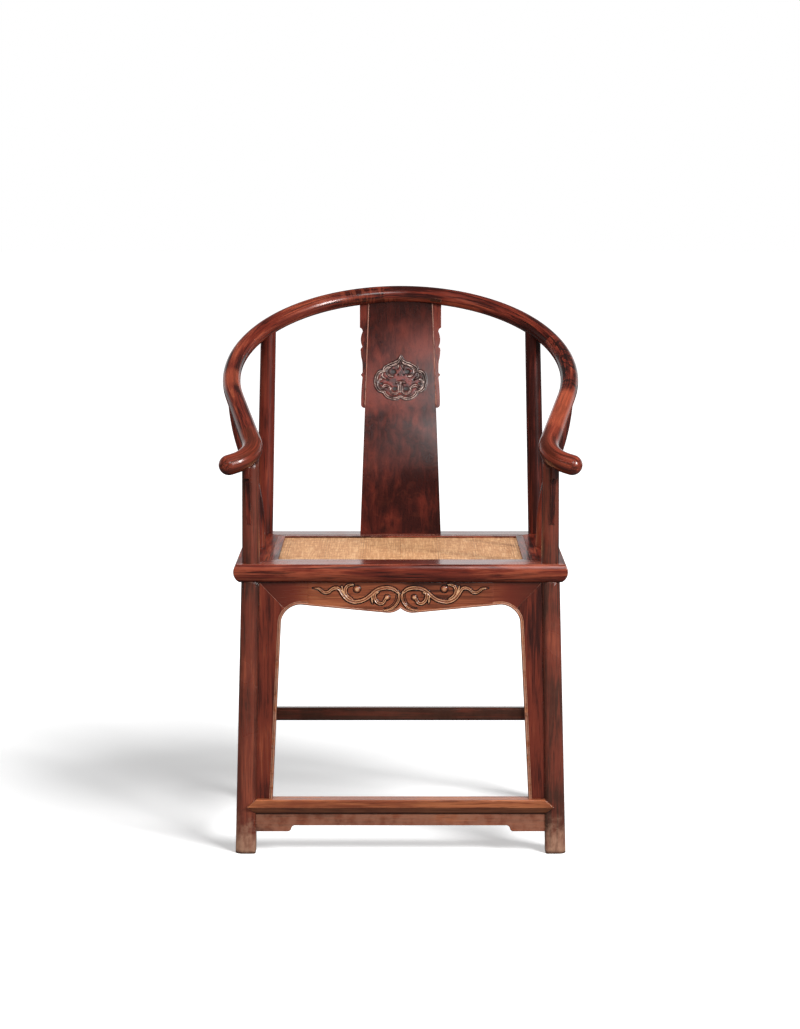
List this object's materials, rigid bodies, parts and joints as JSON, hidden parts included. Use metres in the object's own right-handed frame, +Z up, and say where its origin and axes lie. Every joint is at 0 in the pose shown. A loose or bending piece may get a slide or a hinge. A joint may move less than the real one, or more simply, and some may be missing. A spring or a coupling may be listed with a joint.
{
  "type": "horseshoe back armchair",
  "caption": "Horseshoe back armchair with a sloping round crest rail ending in hand grips, a carved back splat, a woven seat, carved aprons and a footrest stretcher.",
  "frame": {"origin": "on the floor under the middle of the chair", "axes": "+X to the right as seen from the front, +Y from the front of the chair to its back, +Z up"},
  "size_m": [0.6564, 0.5881, 0.9933],
  "materials": {
    "rosewood": "polished semi-gloss, dark streaks",
    "light_rosewood": "worn semi-gloss, lighter",
    "burl_rosewood": "polished semi-gloss, mottled burl",
    "key_wood": "semi-gloss end grain",
    "strip_wood": "polished semi-gloss",
    "cane": "woven, satin"
  },
  "bodies": {
    "root": {"front_leg_right": "rosewood", "front_leg_left": "rosewood", "rear_leg_right": "rosewood", "rear_leg_left": "rosewood", "arm_right": "rosewood", "arm_left": "rosewood", "crown_left": "rosewood", "crown_right": "rosewood", "side_post_right": "rosewood", "side_post_left": "rosewood", "grip_bracket_right": "rosewood", "grip_bracket_left": "rosewood", "splat_spandrel_right": "rosewood", "splat_spandrel_left": "rosewood", "seat_frame_front": "rosewood", "seat_frame_back": "rosewood", "seat_frame_side_right": "rosewood", "seat_frame_side_left": "rosewood", "seat_brace_right": "rosewood", "seat_brace_left": "rosewood", "side_apron_right": "rosewood", "side_apron_left": "rosewood", "side_apron_rear_strip_right": "rosewood", "side_apron_rear_strip_left": "rosewood", "side_apron_front_strip_right": "rosewood", "side_apron_front_strip_left": "rosewood", "rear_apron": "rosewood", "side_stretcher_right": "rosewood", "side_stretcher_left": "rosewood", "rear_stretcher": "rosewood", "front_apron": "light_rosewood", "front_apron_strip_right": "light_rosewood", "front_apron_strip_left": "light_rosewood", "footrest": "light_rosewood", "footrest_apron": "light_rosewood", "back_splat": "burl_rosewood", "crest_key_right": "key_wood", "crest_key_left": "key_wood", "crest_key_crown": "key_wood", "cane_strip_front": "strip_wood", "cane_strip_back": "strip_wood", "cane_strip_right": "strip_wood", "cane_strip_left": "strip_wood", "cane_seat": "cane"}
  },
  "joints": []
}
